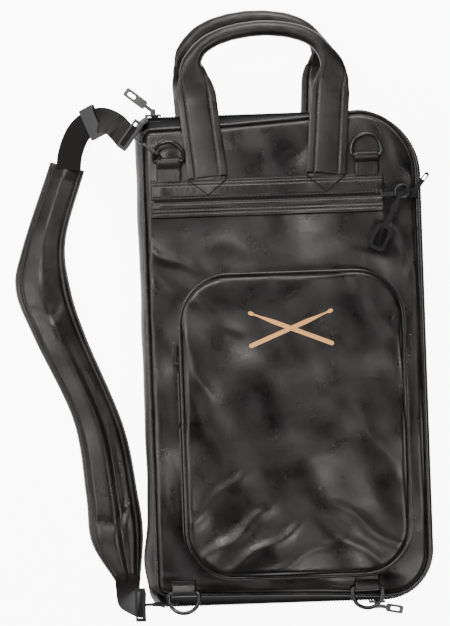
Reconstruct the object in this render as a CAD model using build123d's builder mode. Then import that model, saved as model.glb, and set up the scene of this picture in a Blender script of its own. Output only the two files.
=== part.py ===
from build123d import *
import os

# Drum stick bag lying on its back: +Z out of the front, +Y towards the handles.
# The origin is on the resting face, under the middle of the case.

os.makedirs("parts", exist_ok=True)

# ---- driving dimensions, millimetres ----
HALF_WIDTH = 140.0
HALF_HEIGHT = 242.0
MID_Z = 27.0                           # zip line above the resting face
FRONT_Z = 2 * MID_Z                    # outer face of the front panel
CORNERS = (16.0, 18.0, 50.0, 66.0)     # top left, bottom left, bottom right, top right
WALL = 3.0                             # leather, foam and lining together
PANEL_INSET = 9.1                      # front and rear panels inside the zip outline
LIP_Z = 40.0                           # where the front panel's side lip ends
PIPING_INSET = 7.2
PIPING_RADIUS = 1.8
PIPING_Z = 49.5
ZIP_GAP = 0.4                          # half of the gap between the two coils
COIL_HEIGHT = 2.5
COIL_DEPTH = 2.5
TAPE_TAPER = 15.0                      # degrees that the zip tape leans in
TAPE_HEIGHT = 18.0
SPINE_X = -127.0                       # the leather spine lies left of this line
RECESS_Y = 132.0                       # above this line the rear panel sits in
RECESS_DEPTH = 5.0

BAND_TOP = 176.5
BAND_BOTTOM = 139.5
BAND_RIGHT = 100.0
BAND_LEFT = -125.0
SLOT_TOP = 162.0                       # slash pocket zip between the two band strips
SLOT_BOTTOM = 150.5
BAND_THICK = 2.0

STRAP_WIDTH = 38.0                     # handle leather
HANDLE_TIP_Y = 162.5
HANDLE_HINGE_Y = 177.0
GRIP_RADIUS = 7.5

RING_WIRE = 2.0                        # radius of D-ring wire
RING_HALF = 14.5                       # half width to the wire's middle
RING_REACH = 20.0                      # bar to the top of the arc
RING_Z = 57.6
TOP_BAR_Y = 195.0
BOTTOM_BAR_Y = -224.0
RING_LIFT = 28.0                       # degrees that the strap holds the left rings up
RINGS = {
    "top_left": (-107.5, TOP_BAR_Y, 1, RING_LIFT),
    "top_right": (84.5, TOP_BAR_Y, 1, 0.0),
    "bottom_left": (-107.0, BOTTOM_BAR_Y, -1, RING_LIFT),
    "bottom_right": (70.8, BOTTOM_BAR_Y, -1, 0.0),
}

POCKET_X = 6.0
POCKET_Y = -63.0
POCKET_WIDTH = 212.0
POCKET_HEIGHT = 289.0
POCKET_CORNER = 45.0
POCKET_TOP_Z = 75.0
POCKET_WALL = 2.2
POCKET_ZIP_Z = 66.0
FOLD_Y = 6.0                           # the pocket's flap folds along this line

PAD_THICK = 14.0
WEB_WIDTH = 25.0
WEB_THICK = 1.8
HOOK_Z = 62.8                          # middle of the wire where a strap hook hangs
HOOK_TOP = Vector(-120.8, 204.1, HOOK_Z)
HOOK_BOTTOM = Vector(-120.7, -232.8, HOOK_Z)
EYE_REACH = 29.0                       # hook to the middle of its strap eye
TOP_WAY = Vector(-0.8, 0.6, 0)
BOTTOM_WAY = Vector(-1, 0, 0)


def save(piece, name):
    """Label a finished piece and write its STEP file."""
    piece.label = name
    export_step(piece, f"parts/{name}.step")


def case_face(inset):
    """Case outline moved in by inset, each corner with its own radius."""
    x = HALF_WIDTH - inset
    y = HALF_HEIGHT - inset
    radii = [max(radius - inset, 2.5) for radius in CORNERS]
    with BuildSketch() as face:
        with BuildLine():
            FilletPolyline((-x, y), (-x, -y), (x, -y), (x, y), radius=radii, close=True)
        make_face()
    return face.sketch


def case_ring(low_z, height, outer, inner, taper=0.0):
    """Wall that follows the case outline between two insets."""
    with BuildPart() as wall:
        with BuildSketch(Plane.XY.offset(low_z)):
            add(case_face(outer))
        extrude(amount=height, taper=taper)
        with BuildSketch(Plane.XY.offset(low_z)):
            add(case_face(inner))
        extrude(amount=height, taper=taper, mode=Mode.SUBTRACT)
    return wall.part


def left_block(limit_x):
    """Block that holds everything left of limit_x."""
    return Pos(limit_x - 100, 0, MID_Z) * Box(200, 3 * HALF_HEIGHT, 4 * FRONT_Z, mode=Mode.PRIVATE)


def rear_copy(piece):
    """The same piece mirrored to the rear side of the zip line."""
    return mirror(piece, about=Plane.XY.offset(MID_Z), mode=Mode.PRIVATE)


def slab(x_low, x_high, y_low, y_high, z_low, z_high):
    """Plain block between two corners."""
    centre = Pos((x_low + x_high) / 2, (y_low + y_high) / 2, (z_low + z_high) / 2)
    block = Box(x_high - x_low, y_high - y_low, z_high - z_low, mode=Mode.PRIVATE)
    return centre * block


# ---- the two case halves ----

def make_front_shell():
    """Front panel with a turned lip, open to the rear."""
    with BuildPart() as front_shell:
        with BuildSketch(Plane.XY.offset(LIP_Z)):
            add(case_face(PANEL_INSET))
        extrude(amount=FRONT_Z - LIP_Z)
        fillet(front_shell.edges().group_by(Axis.Z)[-1], radius=4)
        with BuildSketch(Plane.XY.offset(LIP_Z)):
            add(case_face(PANEL_INSET + WALL))
        extrude(amount=FRONT_Z - LIP_Z - WALL, mode=Mode.SUBTRACT)
    save(front_shell.part, "front_shell")
    return front_shell.part


def make_rear_shell(front):
    """Rear panel: the front's mirror image, set in at the top for the rear handle."""
    with BuildPart() as rear_shell:
        add(rear_copy(front))
        add(slab(-200, 200, RECESS_Y, 300, -1, RECESS_DEPTH), mode=Mode.SUBTRACT)
        with BuildSketch(Plane.XY.offset(RECESS_DEPTH)) as floor:
            add(case_face(PANEL_INSET + WALL / 2))
            with Locations((0, RECESS_Y - WALL + 200)):
                Rectangle(400, 400, mode=Mode.INTERSECT)
        extrude(amount=WALL)
        add(slab(-125, 125, RECESS_Y - WALL, RECESS_Y, WALL / 2, RECESS_DEPTH + WALL))
    save(rear_shell.part, "rear_shell")


def make_piping():
    """Corded piping round each panel."""
    x = HALF_WIDTH - PIPING_INSET
    y = HALF_HEIGHT - PIPING_INSET
    radii = [max(radius - PIPING_INSET, 2.5) for radius in CORNERS]
    with BuildPart() as front_piping:
        with BuildLine(Plane.XY.offset(PIPING_Z)) as path:
            FilletPolyline((-x, y), (-x, -y), (x, -y), (x, y), radius=radii, close=True)
        with BuildSketch(Plane(origin=path.line @ 0, z_dir=path.line % 0)):
            Circle(PIPING_RADIUS)
        sweep(path=path.wires()[0])
    save(front_piping.part, "front_piping")
    save(rear_copy(front_piping.part), "rear_piping")


def make_main_zip():
    """Zip tape and coil on three sides of each half, and the leather spine on the fourth."""
    base = MID_Z + 1.0
    with BuildPart() as front_zip_tape:
        add(case_ring(base, TAPE_HEIGHT, COIL_DEPTH + 0.1, COIL_DEPTH + 1.3, TAPE_TAPER))
        add(left_block(SPINE_X + 1), mode=Mode.SUBTRACT)
    with BuildPart() as front_zip_coil:
        add(case_ring(MID_Z + ZIP_GAP, COIL_HEIGHT, 0.0, COIL_DEPTH))
        add(left_block(SPINE_X), mode=Mode.SUBTRACT)
    with BuildPart() as spine_gusset_front:
        add(case_ring(base, TAPE_HEIGHT, 1.0, 2.6, TAPE_TAPER))
        add(left_block(SPINE_X), mode=Mode.INTERSECT)
    for piece, name in (
        (front_zip_tape.part, "front_zip_tape"),
        (front_zip_coil.part, "front_zip_coil"),
        (spine_gusset_front.part, "spine_gusset_front"),
    ):
        save(piece, name)
        save(rear_copy(piece), name.replace("front", "rear"))
    with BuildPart() as spine_fold:
        add(case_ring(MID_Z - 5, 10, 0.05, 0.85))
        add(left_block(SPINE_X - 4), mode=Mode.INTERSECT)
    save(spine_fold.part, "spine_fold")


# ---- inside the case ----

def make_sleeves(name, low_z, high_z, mouth_y):
    """Lining sheet sewn down in four channels for pairs of sticks, open at the top."""
    channels = 4
    pitch = 58.0
    seam = 1.5
    with BuildPart() as sleeves:
        with BuildSketch(Plane.XY.offset(low_z)):
            add(case_face(PANEL_INSET + WALL + 0.5))
            with Locations((0, (mouth_y - 226) / 2)):
                Rectangle(channels * pitch + seam, mouth_y + 226, mode=Mode.INTERSECT)
        extrude(amount=high_z - low_z)
        for channel in range(channels):
            middle = (channel - (channels - 1) / 2) * pitch
            half = (pitch - seam) / 2
            add(slab(middle - half, middle + half, -212, mouth_y + 1, low_z + 0.8, high_z - 0.8),
                mode=Mode.SUBTRACT)
    save(sleeves.part, name)


def make_inner_pocket():
    """Flat lining pocket on the inside of the front panel."""
    with BuildPart() as inner_pocket:
        add(slab(-95, 95, -190, 60, 42.5, FRONT_Z - WALL - 0.1))
        add(slab(-93, 93, -188, 61, 43.7, FRONT_Z - WALL - 1.2), mode=Mode.SUBTRACT)
    save(inner_pocket.part, "inner_pocket")


# ---- handle bands, handles and slash pocket ----

def make_bands():
    """Leather band across the front in two strips, with the slash zip between them."""
    low = FRONT_Z + 0.1
    with BuildPart() as band_upper:
        add(slab(BAND_LEFT, BAND_RIGHT, SLOT_TOP, BAND_TOP, low, low + BAND_THICK))
    save(band_upper.part, "band_upper")
    with BuildPart() as band_lower:
        add(slab(BAND_LEFT, BAND_RIGHT, BAND_BOTTOM, SLOT_BOTTOM, low, low + BAND_THICK))
    save(band_lower.part, "band_lower")
    with BuildPart() as rear_band:
        add(slab(BAND_LEFT, BAND_RIGHT, BAND_BOTTOM, BAND_TOP, RECESS_DEPTH - 2.1, RECESS_DEPTH - 0.1))
    save(rear_band.part, "rear_band")
    with BuildPart() as slash_zip:
        add(slab(-122, 128, SLOT_BOTTOM + 0.3, SLOT_TOP - 0.3, low, low + 0.8))
        add(slab(-122, 128, 154.2, 157.8, low, low + 1.8))
    save(slash_zip.part, "slash_zip")


def leg_shape(base_x, top_x, top_y):
    """Outline of one handle leg above the band, leaning a little."""
    half = STRAP_WIDTH / 2
    with BuildSketch() as leg:
        with BuildLine():
            Polyline((base_x - half, HANDLE_HINGE_Y + 3), (base_x + half, HANDLE_HINGE_Y + 3),
                     (top_x + half - 1, top_y), (top_x - half + 1, top_y), close=True)
        make_face()
    return leg.sketch


def make_handle(name, shift_x, grip_y, low_z, grip_z):
    """Two flat legs that roll into one padded grip."""
    left_base = -70 + shift_x
    right_base = 45 + shift_x
    left_top = -78 + shift_x
    right_top = 50.5 + shift_x
    leg_top = grip_y - 40
    with BuildPart() as handle:
        with BuildSketch(Plane.XY.offset(low_z)):
            add(leg_shape(left_base, left_top, leg_top))
            add(leg_shape(right_base, right_top, leg_top))
        extrude(amount=2.0)
        with BuildLine(Plane.XY.offset(grip_z)) as path:
            FilletPolyline((left_top, leg_top - 4), (left_top + 8, grip_y), (right_top - 12, grip_y - 3),
                           (right_top, leg_top - 4), radius=26)
        with BuildSketch(Plane(origin=path.line @ 0, z_dir=path.line % 0)):
            Circle(GRIP_RADIUS)
        sweep(path=path.wires()[0])
    save(handle.part, name)


def make_handle_tips(name, shift_x, low_z):
    """Pointed ends of the handle leather, sewn to the band."""
    half = STRAP_WIDTH / 2
    with BuildPart() as tips:
        with BuildSketch(Plane.XY.offset(low_z)):
            for middle in (-70 + shift_x, 45 + shift_x):
                with BuildLine():
                    Polyline((middle - half, BAND_TOP), (middle - half, HANDLE_TIP_Y + 5),
                             (middle, HANDLE_TIP_Y), (middle + half, HANDLE_TIP_Y + 5),
                             (middle + half, BAND_TOP), close=True)
                make_face()
        extrude(amount=1.6)
    save(tips.part, name)


# ---- D-rings and their tabs ----

def make_rings():
    """Four wire D-rings, each with its straight bar in a folded leather tab."""
    for place, (x, bar_y, way, lift) in RINGS.items():
        tilted = Plane(origin=(x, bar_y, RING_Z), x_dir=(1, 0, 0), z_dir=(0, 0, 1)).rotated((way * lift, 0, 0))
        with BuildPart() as ring:
            with BuildLine(tilted) as path:
                FilletPolyline((-RING_HALF, 0), (RING_HALF, 0), (RING_HALF, way * RING_REACH),
                               (-RING_HALF, way * RING_REACH), radius=[2.5, 2.5, 14.4, 14.4], close=True)
            with BuildSketch(Plane(origin=path.line @ 0, z_dir=path.line % 0)):
                Circle(RING_WIRE)
            sweep(path=path.wires()[0])
        save(ring.part, f"dring_{place}")


def make_ring_tabs():
    """Leather loops that hold the rings' bars."""
    with BuildPart() as dring_tabs:
        for x, bar_y, way, lift in RINGS.values():
            length = 15.0 if way > 0 else 9.5
            with BuildSketch(Plane.YZ.offset(x - 11)):
                with Locations((bar_y - way * length / 2, FRONT_Z + 3.0)):
                    Rectangle(length, 5.4)
                with Locations((bar_y, RING_Z)):
                    Circle(RING_WIRE + 1.4)
                    Circle(RING_WIRE + 0.3, mode=Mode.SUBTRACT)
                with Locations((bar_y + way * 6, RING_Z)):
                    Rectangle(8.4, 12, mode=Mode.SUBTRACT)
            extrude(amount=22)
    save(dring_tabs.part, "dring_tabs")


# ---- front pocket ----

def pocket_face_shape(inset):
    """Pocket outline moved in by inset."""
    with BuildSketch() as face:
        with Locations((POCKET_X, POCKET_Y)):
            RectangleRounded(POCKET_WIDTH - 2 * inset, POCKET_HEIGHT - 2 * inset, POCKET_CORNER - inset)
    return face.sketch


def pocket_tub(low_z, high_z, outer, thick):
    """Wall of the pocket between two heights."""
    with BuildPart() as wall:
        with BuildSketch(Plane.XY.offset(low_z)):
            add(pocket_face_shape(outer))
            add(pocket_face_shape(outer + thick), mode=Mode.SUBTRACT)
        extrude(amount=high_z - low_z)
    return wall.part


def pocket_half(upper):
    """Block over or under the fold line of the pocket's flap."""
    gap = 0.4
    if upper:
        return slab(-200, 200, FOLD_Y + gap, 200, 60, 90)
    return slab(-200, 200, -300, FOLD_Y - gap, 60, 90)


def make_pocket():
    """Box-sided pocket with a flap that opens along a zip over the top."""
    with BuildPart() as pocket_wall:
        add(pocket_tub(FRONT_Z + 0.1, POCKET_ZIP_Z, 0, POCKET_WALL))
    save(pocket_wall.part, "pocket_wall")
    with BuildPart() as lid:
        with BuildSketch(Plane.XY.offset(POCKET_ZIP_Z + 2.6)):
            add(pocket_face_shape(0))
        extrude(amount=POCKET_TOP_Z - POCKET_ZIP_Z - 2.6)
        fillet(lid.edges().group_by(Axis.Z)[-1], radius=2)
        with BuildSketch(Plane.XY.offset(POCKET_ZIP_Z + 2.6)):
            add(pocket_face_shape(POCKET_WALL))
        extrude(amount=POCKET_TOP_Z - POCKET_ZIP_Z - 2.6 - WALL, mode=Mode.SUBTRACT)
    with BuildPart() as pocket_panel:
        add(lid.part & pocket_half(False))
        add(pocket_tub(POCKET_ZIP_Z + 0.05, POCKET_ZIP_Z + 2.6, 0, POCKET_WALL) & pocket_half(False))
    save(pocket_panel.part, "pocket_panel")
    with BuildPart() as pocket_flap:
        add(lid.part & pocket_half(True))
    save(pocket_flap.part, "pocket_flap")
    with BuildPart() as pocket_zip:
        add(pocket_tub(POCKET_ZIP_Z + 0.05, POCKET_ZIP_Z + 1.1, 0, POCKET_WALL) & pocket_half(True))
    save(pocket_zip.part, "pocket_zip")
    with BuildPart() as flap_zip:
        add(pocket_tub(POCKET_ZIP_Z + 1.5, POCKET_ZIP_Z + 2.55, 0, POCKET_WALL) & pocket_half(True))
    save(flap_zip.part, "flap_zip")
    with BuildPart() as rim:
        add(pocket_tub(POCKET_TOP_Z - 5.6, POCKET_TOP_Z - 2.6, -2.6, 2.5))
    save(rim.part & pocket_half(False), "pocket_piping")
    save(rim.part & pocket_half(True), "flap_piping")
    with BuildPart() as gusset_piping:
        add(pocket_tub(FRONT_Z + 3, FRONT_Z + 6, -5.6, 5.5))
        add(slab(-200, 200, FOLD_Y - 12, 200, FRONT_Z, 90), mode=Mode.SUBTRACT)
    save(gusset_piping.part, "gusset_piping")


# ---- zip sliders and pulls ----

PIN_REACH = 5.0                        # main slider's pin outside the zip line
PIN_RADIUS = 1.0
SLASH_PIVOT = (128.0, 156.0)
POCKET_PIN = (-1.5, 64.5)              # Y and Z of the pocket sliders' pins
KEY_Z = 62.9                           # height of the key snap over the ground


def make_edge_slider(name, x, side):
    """Slider of the main zip: two plates joined by a blade between the coils."""
    half_length = 8.0
    edge = side * HALF_HEIGHT
    low_out, high_out = sorted((edge + side * 0.3, edge + side * 1.8))
    low_in, high_in = sorted((edge - side * 5.4, edge - side * 6.8))
    low_web, high_web = sorted((edge + side * 1.0, edge - side * 6.0))
    low_ear, high_ear = sorted((edge + side * 1.8, edge + side * 7.4))
    with BuildPart() as slider:
        add(slab(x - half_length, x + half_length, low_out, high_out, MID_Z - 5, MID_Z + 5))
        add(slab(x - half_length, x + half_length, low_in, high_in, MID_Z - 5, MID_Z + 5))
        add(slab(x - 2, x + 5, low_web, high_web, MID_Z - 0.25, MID_Z + 0.25))
        for low in (1.3, -2.6):
            add(slab(x - 2.6, x + 2.6, low_ear, high_ear, MID_Z + low, MID_Z + low + 1.3))
        with BuildSketch(Plane.XY.offset(MID_Z - 2)):
            with Locations((x, edge + side * PIN_REACH)):
                Circle(PIN_RADIUS)
        extrude(amount=4)
    save(slider.part, name)


def pull_tab(name, pivot, way, length, width):
    """Flat pull with a slot at its free end and an eye round the slider's pin."""
    frame = Plane(origin=pivot, x_dir=way, z_dir=(0, 0, 1))
    with BuildPart() as pull:
        with BuildSketch(frame.offset(-1.0)):
            Circle(2.6)
            with Locations((6, 0)):
                Rectangle(10, 3.6)
            with Locations(((length + 9) / 2, 0)):
                RectangleRounded(length - 9, width, 2)
            with Locations((length - 8, 0)):
                SlotOverall(9, width * 0.42, mode=Mode.SUBTRACT)
            Circle(PIN_RADIUS + 0.3, mode=Mode.SUBTRACT)
        extrude(amount=2.0)
    save(pull.part, name)


def make_sliders():
    """All the zips' sliders with their pulls."""
    make_edge_slider("top_slider", -122.0, 1)
    make_edge_slider("corner_slider", 82.0, -1)
    x, y = SLASH_PIVOT
    with BuildPart() as slash_slider:
        add(slab(x - 8, x + 4, y - 4, y + 4, FRONT_Z + 2.1, FRONT_Z + 4.2))
        with BuildSketch(Plane.XY.offset(FRONT_Z + 4)):
            with Locations((x, y)):
                Circle(PIN_RADIUS)
        extrude(amount=2.4)
        add(slab(x - 6.6, x - 2.8, y, y + 4, FRONT_Z + 4, KEY_Z + 2.4))
        add(slab(x - 6.3, x - 3.1, y - 1, y + 5, KEY_Z - 1.5, KEY_Z + 1.5), mode=Mode.SUBTRACT)
    save(slash_slider.part, "slash_slider")
    for name, x in (("pocket_slider_left", -103.5), ("pocket_slider_right", 115.5)):
        side = 1 if x > 0 else -1
        low, high = sorted((x - side * 3.2, x + side * 1.6))
        with BuildPart() as slider:
            add(slab(low, high, -8, FOLD_Y - 0.6, 61.0, 68.0))
            with BuildSketch(Plane.YZ.offset(x)):
                with Locations(POCKET_PIN):
                    Circle(PIN_RADIUS)
            extrude(amount=side * 6)
        save(slider.part, name)


def make_pulls():
    """Pulls of the five sliders."""
    pull_tab("top_pull", (-122.0, HALF_HEIGHT + PIN_REACH, MID_Z), (-0.78, 0.63, 0), 34, 9)
    pull_tab("corner_pull", (82.0, -HALF_HEIGHT - PIN_REACH, MID_Z), (0.98, -0.2, 0), 26, 8)
    frame = Plane(origin=(*SLASH_PIVOT, FRONT_Z + 4.4), x_dir=(0.62, 0.78, 0), z_dir=(0, 0, 1))
    with BuildPart() as slash_pull:
        with BuildSketch(frame):
            with Locations((11, 0)):
                RectangleRounded(27, 5, 2)
            with Locations((19, 0)):
                SlotOverall(6, 2.2, mode=Mode.SUBTRACT)
            Circle(PIN_RADIUS + 0.3, mode=Mode.SUBTRACT)
        extrude(amount=1.6)
    save(slash_pull.part, "slash_pull")
    for name, x in (("pocket_pull_left", -108.2), ("pocket_pull_right", 120.2)):
        with BuildPart() as pull:
            with BuildSketch(Plane.YZ.offset(x - 0.8)):
                with Locations((POCKET_PIN[0] + 9.5, POCKET_PIN[1])):
                    RectangleRounded(24, 6, 1.5)
                with Locations((POCKET_PIN[0] + 16.5, POCKET_PIN[1])):
                    SlotOverall(7, 2.4, mode=Mode.SUBTRACT)
                with Locations(POCKET_PIN):
                    Circle(PIN_RADIUS + 0.3, mode=Mode.SUBTRACT)
            extrude(amount=1.6)
        save(pull.part, name)


# ---- snap hooks ----

GATE_MIDDLE = 8.4                      # middle of a strap hook's gate, from the ring
GATE_OFF = 6.8                         # gate's middle under the hook's middle


def hook_plane(ring_point, along):
    """Upright plane through a ring, with X along the hook and Y down."""
    return Plane(origin=ring_point, x_dir=along, z_dir=Vector(0, 0, 1).cross(along))


def make_snap(name, frame, eye_width):
    """Swivel snap hook: open loop, collar and strap eye; the gate is its own piece."""
    thick = 2.2
    with BuildPart() as hook:
        with BuildSketch(frame.offset(-thick / 2)):
            with Locations((4.8, 0)):
                RectangleRounded(25.6, 15.6, 7.2)
            with Locations((4.2, 0)):
                RectangleRounded(20.4, 11.6, 5.2, mode=Mode.SUBTRACT)
            with Locations((GATE_MIDDLE, GATE_OFF + 0.3)):
                Rectangle(10.6, 4.4, mode=Mode.SUBTRACT)
            with Locations((20.6, 0)):
                Rectangle(8, 5)
        extrude(amount=thick)
        with BuildSketch(frame.offset(-eye_width / 2 - 3)):
            with Locations((EYE_REACH - 0.6, 0)):
                Rectangle(10, 4)
        extrude(amount=eye_width + 6)
        with BuildSketch(frame.offset(-eye_width / 2)):
            with Locations((EYE_REACH, 0)):
                Rectangle(4.8, 8)
        extrude(amount=eye_width, mode=Mode.SUBTRACT)
    save(hook.part, name)


def make_gate(name, frame):
    """Sprung bar that closes a snap hook's mouth."""
    with BuildPart() as gate:
        with BuildSketch(frame.offset(-1.0)):
            with Locations((GATE_MIDDLE, GATE_OFF)):
                RectangleRounded(9.8, 1.9, 0.8)
        extrude(amount=2.0)
    save(gate.part, name)


def make_strap_hooks():
    """Snap hooks at both ends of the shoulder strap."""
    top = hook_plane(HOOK_TOP, TOP_WAY)
    bottom = hook_plane(HOOK_BOTTOM, BOTTOM_WAY)
    make_snap("upper_snap", top, WEB_WIDTH + 1)
    make_gate("upper_gate", top)
    make_snap("lower_snap", bottom, WEB_WIDTH + 1)
    make_gate("lower_gate", bottom)


def make_key_snap():
    """Small swivel snap that hangs by a ring from the slash pocket's slider."""
    ring_x = SLASH_PIVOT[0] - 4.7 - 6.2
    ring_y = SLASH_PIVOT[1] + 2
    with BuildPart() as key_ring:
        with Locations(Location((ring_x, ring_y, KEY_Z))):
            Torus(6.2, 1.1)
    save(key_ring.part, "key_ring")
    frame = Plane(origin=(ring_x - 6.2 * 0.45, ring_y - 6.2 * 0.89, KEY_Z), x_dir=(-0.45, -0.89, 0),
                  z_dir=(0, 0, 1))
    with BuildPart() as key_snap:
        with BuildSketch(frame.offset(-2.4)):
            Rectangle(6.0, 3.6)
            with Locations((5.5, 0)):
                Rectangle(5.4, 3.6)
        extrude(amount=4.8)
        with BuildSketch(frame.offset(-1.5)):
            Rectangle(3.2, 12)
        extrude(amount=3.0, mode=Mode.SUBTRACT)
        with BuildSketch(frame.offset(-1.8)):
            with Locations((12, 0)):
                RectangleRounded(9, 6.4, 2)
            with Locations((24, 0)):
                Rectangle(17, 5)
            with Locations((43, 0)):
                RectangleRounded(26, 17, 5)
            with Locations((43, 0)):
                RectangleRounded(19, 10.4, 3.5, mode=Mode.SUBTRACT)
            with Locations((42.4, 7.4)):
                Rectangle(14.6, 4.8, mode=Mode.SUBTRACT)
        extrude(amount=3.6)
    save(key_snap.part, "key_snap")
    with BuildPart() as key_gate:
        with BuildSketch(frame.offset(-1.4)):
            with Locations((42.4, 6.8)):
                RectangleRounded(13.8, 2.4, 1.0)
        extrude(amount=2.8)
    save(key_gate.part, "key_gate")


# ---- shoulder strap ----

PAD_LEFT = ((-225, 198), (-258, 118), (-266, 76), (-249, 27), (-213, -56), (-203, -131), (-199, -178),
            (-176, -216))
PAD_RIGHT = ((-152, -219), (-147, -172), (-151, -131), (-163, -62), (-197, 27), (-211, 76),
             (-214, 125), (-195, 189))


def make_pad():
    """Long curved shoulder pad, flat on the ground."""
    with BuildPart() as shoulder_pad:
        with BuildSketch():
            with BuildLine():
                left = Spline(*PAD_LEFT)
                foot = Line(left @ 1, PAD_RIGHT[0])
                right = Spline(*PAD_RIGHT)
                Line(right @ 1, left @ 0)
            make_face()
        extrude(amount=PAD_THICK)
        chamfer(shoulder_pad.edges().group_by(Axis.Z)[-1], length=3)
    save(shoulder_pad.part, "shoulder_pad")


def web_leg(start, end, wide):
    """Flat run of webbing between two points, wide along the given direction."""
    along = end - start
    flat = Plane(origin=(start + end) / 2, x_dir=along, z_dir=along.cross(wide))
    return flat.location * Box(along.length, WEB_WIDTH, WEB_THICK, mode=Mode.PRIVATE)


def make_webbing():
    """Webbing from the pad's top through the adjuster to the upper snap, and the lower loop."""
    level = Vector(0, 0, 1)
    pad_end = Vector(-210.0, 195.6, 9.0)
    bend = Vector(-198.0, 232.0, 13.0)
    adjust = Vector(-171.0, 243.0, 32.0)
    eye = HOOK_TOP + TOP_WAY * EYE_REACH
    under_eye = eye + TOP_WAY * 8 - Vector(0, 0, 8)
    with BuildPart() as strap_webbing:
        for start, end in ((pad_end, bend), (bend, adjust), (adjust, under_eye), (under_eye, eye)):
            add(web_leg(start, end, level.cross(end - start).normalized()))
    save(strap_webbing.part, "strap_webbing")
    along = (adjust - bend).normalized()
    sleeve = Plane(origin=adjust - along * 14, x_dir=along, z_dir=along.cross(level.cross(along)))
    with BuildPart() as strap_adjuster:
        with BuildSketch(sleeve.offset(-3)):
            Rectangle(16, WEB_WIDTH + 7)
        extrude(amount=6)
        with BuildSketch(sleeve.offset(-1.4)):
            Rectangle(20, WEB_WIDTH + 1)
        extrude(amount=2.8, mode=Mode.SUBTRACT)
    save(strap_adjuster.part, "strap_adjuster")
    foot = Vector(-164.0, -219.8, 9.0)
    turn = Vector(-164.0, -232.8, 9.5)
    with BuildPart() as lower_loop:
        add(web_leg(foot, turn, Vector(1, 0, 0)))
        rise = HOOK_BOTTOM + BOTTOM_WAY * EYE_REACH - turn
        add(web_leg(turn, turn + rise, level.cross(rise).normalized()))
    save(lower_loop.part, "lower_loop")


make_rear_shell(make_front_shell())
make_piping()
make_main_zip()
make_sleeves("sleeves_long", WALL + 0.1, 14.6, 75.0)
make_sleeves("sleeves_short", 14.8, 25.6, -25.0)
make_inner_pocket()
make_bands()
make_handle("front_handle", 0.0, 322.5, FRONT_Z + 2.4, 58.0)
make_handle("rear_handle", -6.0, 334.0, 0.5, 8.0)
make_handle_tips("front_handle_tips", 0.0, FRONT_Z + 2.2)
make_handle_tips("rear_handle_tips", -6.0, RECESS_DEPTH - 3.8)
make_rings()
make_ring_tabs()
make_pocket()
make_sliders()
make_pulls()
make_strap_hooks()
make_key_snap()
make_pad()
make_webbing()
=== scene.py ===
import math
import bpy
import numpy as np
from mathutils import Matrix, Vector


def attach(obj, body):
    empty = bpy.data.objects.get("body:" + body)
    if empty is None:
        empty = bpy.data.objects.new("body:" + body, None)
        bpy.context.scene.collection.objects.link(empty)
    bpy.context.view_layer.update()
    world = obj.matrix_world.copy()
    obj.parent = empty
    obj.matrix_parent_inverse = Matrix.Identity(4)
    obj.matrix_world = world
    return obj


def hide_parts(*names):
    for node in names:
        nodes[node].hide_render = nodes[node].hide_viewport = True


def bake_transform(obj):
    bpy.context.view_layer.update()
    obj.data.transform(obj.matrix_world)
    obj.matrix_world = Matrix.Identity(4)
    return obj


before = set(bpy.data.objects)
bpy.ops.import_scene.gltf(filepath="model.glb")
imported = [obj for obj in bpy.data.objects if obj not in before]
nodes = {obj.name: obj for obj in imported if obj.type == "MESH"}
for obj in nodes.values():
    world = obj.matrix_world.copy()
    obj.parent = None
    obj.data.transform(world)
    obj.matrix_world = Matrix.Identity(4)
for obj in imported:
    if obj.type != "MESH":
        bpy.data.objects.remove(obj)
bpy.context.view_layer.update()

# ---- floor, studio light and camera ----
# The bag lies on its back on a pale table and is seen from straight above, turned a
# little. Four soft boxes light it. The table glows for the camera only, so that it is
# white while the black leather stays deep.

MM = 0.001
floor_mesh = bpy.data.meshes.new("floor")
floor_mesh.from_pydata([(-6, -6, 0), (6, -6, 0), (6, 6, 0), (-6, 6, 0)], [], [(0, 1, 2, 3)])
floor = bpy.data.objects.new("floor", floor_mesh)
bpy.context.scene.collection.objects.link(floor)
floor_paint = bpy.data.materials.new("pale table")
floor_paint.use_nodes = True
floor_shader = floor_paint.node_tree.nodes["Principled BSDF"]
floor_shader.inputs["Base Color"].default_value = (0.93, 0.93, 0.93, 1)
floor_shader.inputs["Roughness"].default_value = 0.9
floor_shader.inputs["Emission Color"].default_value = (1, 1, 1, 1)
seen = floor_paint.node_tree.nodes.new("ShaderNodeLightPath")
glow = floor_paint.node_tree.nodes.new("ShaderNodeMapRange")
glow.inputs["To Min"].default_value = 0.7
glow.inputs["To Max"].default_value = 9.0
floor_paint.node_tree.links.new(seen.outputs["Is Camera Ray"], glow.inputs["Value"])
floor_paint.node_tree.links.new(glow.outputs["Result"], floor_shader.inputs["Emission Strength"])
floor_mesh.materials.append(floor_paint)

room = bpy.data.worlds.new("room")
room.use_nodes = True
room.node_tree.nodes["Background"].inputs["Color"].default_value = (1, 1, 1, 1)
room.node_tree.nodes["Background"].inputs["Strength"].default_value = 0.05
bpy.context.scene.world = room


def soft_box(name, place, size, power):
    """Square area light that faces the middle of the bag."""
    lamp = bpy.data.lights.new(name, "AREA")
    lamp.energy = power
    lamp.size = size
    stand = bpy.data.objects.new(name, lamp)
    aim = np.array([-0.04, 0.03, 0.03]) - np.array(place)
    stand.location = place
    stand.rotation_euler = Vector(aim).to_track_quat("-Z", "Y").to_euler()
    bpy.context.scene.collection.objects.link(stand)


soft_box("soft_box_left", (-0.6, 0.55, 1.6), 0.45, 17)
soft_box("soft_box_right", (0.62, -0.5, 1.6), 0.45, 11)
soft_box("soft_box_top", (0.05, 1.35, 1.0), 0.8, 24)
soft_box("soft_box_side", (-1.3, -0.1, 0.9), 0.7, 12)

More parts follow.
